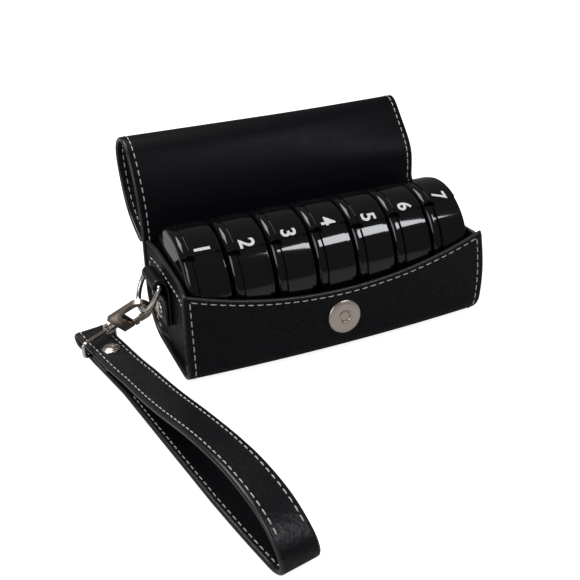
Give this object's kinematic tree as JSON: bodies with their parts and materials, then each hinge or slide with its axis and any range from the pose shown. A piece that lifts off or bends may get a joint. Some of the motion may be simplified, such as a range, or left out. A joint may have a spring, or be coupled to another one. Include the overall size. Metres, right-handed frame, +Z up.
{
  "type": "pill organizer",
  "caption": "Roll-up leather case with a folding flap and magnetic snap that holds a row of round lidded pill boxes, with a hooked wrist strap.",
  "frame": {"origin": "middle of the case's flat bottom, on the surface it stands on", "axes": "+X along the case towards its right end, +Y to its back, +Z up"},
  "size_m": [0.207, 0.241, 0.0957],
  "materials": {
    "box_plastic": "high gloss black",
    "case_leather": "black cross-grained leather",
    "strap_leather": "black pebbled leather",
    "board": "matt black lining over a stiff board",
    "magnet": "plain",
    "pin_steel": "plain drawn steel",
    "polished_nickel": "polished nickel plate",
    "satin_nickel": "satin nickel plate"
  },
  "bodies": {
    "case": {"case_wrap": "case_leather", "left_gusset": "case_leather", "right_gusset": "case_leather", "base_board": "board", "snap_socket": "satin_nickel", "snap_magnet": "magnet", "snap_socket_washer": "pin_steel", "ring_tab": "strap_leather", "tab_rivet": "satin_nickel"},
    "flap_1": {"flap_panel_1": "case_leather"},
    "flap_2": {"flap_panel_2": "case_leather"},
    "flap_3": {"flap_panel_3": "case_leather"},
    "flap_4": {"flap_panel_4": "case_leather"},
    "flap_5": {"flap_panel_5": "case_leather"},
    "flap_6": {"flap_panel_6": "case_leather"},
    "flap_7": {"flap_panel_7": "case_leather", "snap_stud": "satin_nickel", "snap_stud_washer": "pin_steel"},
    "box_1": {"box_1_body": "box_plastic", "box_1_lid_pin": "pin_steel"},
    "lid_1": {"box_1_lid": "box_plastic"},
    "box_2": {"box_2_body": "box_plastic", "box_2_lid_pin": "pin_steel"},
    "lid_2": {"box_2_lid": "box_plastic"},
    "box_3": {"box_3_body": "box_plastic", "box_3_lid_pin": "pin_steel"},
    "lid_3": {"box_3_lid": "box_plastic"},
    "box_4": {"box_4_body": "box_plastic", "box_4_lid_pin": "pin_steel"},
    "lid_4": {"box_4_lid": "box_plastic"},
    "box_5": {"box_5_body": "box_plastic", "box_5_lid_pin": "pin_steel"},
    "lid_5": {"box_5_lid": "box_plastic"},
    "box_6": {"box_6_body": "box_plastic", "box_6_lid_pin": "pin_steel"},
    "lid_6": {"box_6_lid": "box_plastic"},
    "box_7": {"box_7_body": "box_plastic", "box_7_lid_pin": "pin_steel"},
    "lid_7": {"box_7_lid": "box_plastic"},
    "ring": {"d_ring": "polished_nickel"},
    "hook": {"hook_body": "satin_nickel", "gate_pin": "pin_steel", "gate_spring": "pin_steel"},
    "gate": {"hook_gate": "satin_nickel"},
    "swivel": {"hook_eye": "satin_nickel"},
    "keeper": {"strap_ring": "polished_nickel"},
    "strap": {"wrist_strap": "strap_leather", "strap_rivet": "satin_nickel"}
  },
  "joints": [
    {"name": "flap_fold", "type": "hinge", "parent": "case", "child": "flap_1", "pos_m": [0, 0.0325, 0.0522], "axis": [-1, 0, 0], "range_deg": [-48.81, 0]},
    {"name": "flap_bend_2", "type": "hinge", "parent": "flap_1", "child": "flap_2", "pos_m": [0, 0.03475, 0.06905], "axis": [-1, 0, 0], "range_deg": [-41.45, 0]},
    {"name": "flap_bend_3", "type": "hinge", "parent": "flap_2", "child": "flap_3", "pos_m": [0, 0.0426, 0.08413], "axis": [-1, 0, 0], "range_deg": [-54.86, 0]},
    {"name": "flap_bend_4", "type": "hinge", "parent": "flap_3", "child": "flap_4", "pos_m": [0, 0.05596, 0.09464], "axis": [-1, 0, 0], "range_deg": [-90.16, 0]},
    {"name": "flap_bend_5", "type": "hinge", "parent": "flap_4", "child": "flap_5", "pos_m": [0, 0.07129, 0.0873], "axis": [-1, 0, 0], "range_deg": [-85.52, 0]},
    {"name": "flap_bend_6", "type": "hinge", "parent": "flap_5", "child": "flap_6", "pos_m": [0, 0.0696, 0.07038], "axis": [-1, 0, 0], "range_deg": [-69.25, 0]},
    {"name": "flap_bend_7", "type": "hinge", "parent": "flap_6", "child": "flap_7", "pos_m": [0, 0.06034, 0.05612], "axis": [-1, 0, 0], "range_deg": [-33.52, 0]},
    {"name": "box_1_lift", "type": "slide", "parent": "case", "child": "box_1", "axis": [0, 0, 1], "range_m": [0, 0.06]},
    {"name": "lid_1_hinge", "type": "hinge", "parent": "box_1", "child": "lid_1", "pos_m": [-0.0666, 0.01577, 0.06046], "axis": [-1, 0, 0], "range_deg": [0, 95]},
    {"name": "box_2_lift", "type": "slide", "parent": "case", "child": "box_2", "axis": [0, 0, 1], "range_m": [0, 0.06]},
    {"name": "lid_2_hinge", "type": "hinge", "parent": "box_2", "child": "lid_2", "pos_m": [-0.0444, 0.01446, 0.06125], "axis": [-1, 0, 0], "range_deg": [0, 95]},
    {"name": "box_3_lift", "type": "slide", "parent": "case", "child": "box_3", "axis": [0, 0, 1], "range_m": [0, 0.06]},
    {"name": "lid_3_hinge", "type": "hinge", "parent": "box_3", "child": "lid_3", "pos_m": [-0.0222, 0.01534, 0.06073], "axis": [-1, 0, 0], "range_deg": [0, 95]},
    {"name": "box_4_lift", "type": "slide", "parent": "case", "child": "box_4", "axis": [0, 0, 1], "range_m": [0, 0.06]},
    {"name": "lid_4_hinge", "type": "hinge", "parent": "box_4", "child": "lid_4", "pos_m": [0, 0.01702, 0.0596], "axis": [-1, 0, 0], "range_deg": [0, 95]},
    {"name": "box_5_lift", "type": "slide", "parent": "case", "child": "box_5", "axis": [0, 0, 1], "range_m": [0, 0.06]},
    {"name": "lid_5_hinge", "type": "hinge", "parent": "box_5", "child": "lid_5", "pos_m": [0.0222, 0.01512, 0.06086], "axis": [-1, 0, 0], "range_deg": [0, 95]},
    {"name": "box_6_lift", "type": "slide", "parent": "case", "child": "box_6", "axis": [0, 0, 1], "range_m": [0, 0.06]},
    {"name": "lid_6_hinge", "type": "hinge", "parent": "box_6", "child": "lid_6", "pos_m": [0.0444, 0.01661, 0.05989], "axis": [-1, 0, 0], "range_deg": [0, 95]},
    {"name": "box_7_lift", "type": "slide", "parent": "case", "child": "box_7", "axis": [0, 0, 1], "range_m": [0, 0.06]},
    {"name": "lid_7_hinge", "type": "hinge", "parent": "box_7", "child": "lid_7", "pos_m": [0.0666, 0.01824, 0.05868], "axis": [-1, 0, 0], "range_deg": [0, 95]},
    {"name": "ring_swing", "type": "hinge", "parent": "case", "child": "ring", "pos_m": [-0.0855, 0.005, 0.041], "axis": [0, 1, 0], "range_deg": [-6, 75]},
    {"name": "hook_swing", "type": "hinge", "parent": "ring", "child": "hook", "pos_m": [-0.09322, 0.005, 0.02585], "axis": [0, 1, 0], "range_deg": [-8, 25]},
    {"name": "gate_hinge", "type": "hinge", "parent": "hook", "child": "gate", "pos_m": [-0.09794, 0.0113, 0.01468], "axis": [-0.3555, -0.8704, -0.3407], "range_deg": [0, 22], "stiffness_Nm_per_rad": 0.01, "springref_deg": -17.19},
    {"name": "eye_swivel", "type": "hinge", "parent": "hook", "child": "swivel", "pos_m": [-0.09322, 0.005, 0.02585], "axis": [-0.6284, 0.4924, -0.6023], "range_deg": [-8, 40]},
    {"name": "keeper_hinge", "type": "hinge", "parent": "swivel", "child": "keeper", "pos_m": [-0.10851, 0.01698, 0.0112], "axis": [0.8387, 0.5446, 0], "range_deg": [-4, 80]},
    {"name": "strap_hinge", "type": "hinge", "parent": "keeper", "child": "strap", "pos_m": [-0.11404, 0.01338, 0.0037], "axis": [0.8387, 0.5446, 0], "range_deg": [-8, 8]}
  ],
  "couplings": [
    {"joint": "flap_bend_2", "follows": "flap_fold", "ratio": 0.84819},
    {"joint": "flap_bend_3", "follows": "flap_fold", "ratio": 1.1229},
    {"joint": "flap_bend_4", "follows": "flap_fold", "ratio": 1.8461},
    {"joint": "flap_bend_5", "follows": "flap_fold", "ratio": 1.7511},
    {"joint": "flap_bend_6", "follows": "flap_fold", "ratio": 1.4177},
    {"joint": "flap_bend_7", "follows": "flap_fold", "ratio": 0.68572}
  ]
}
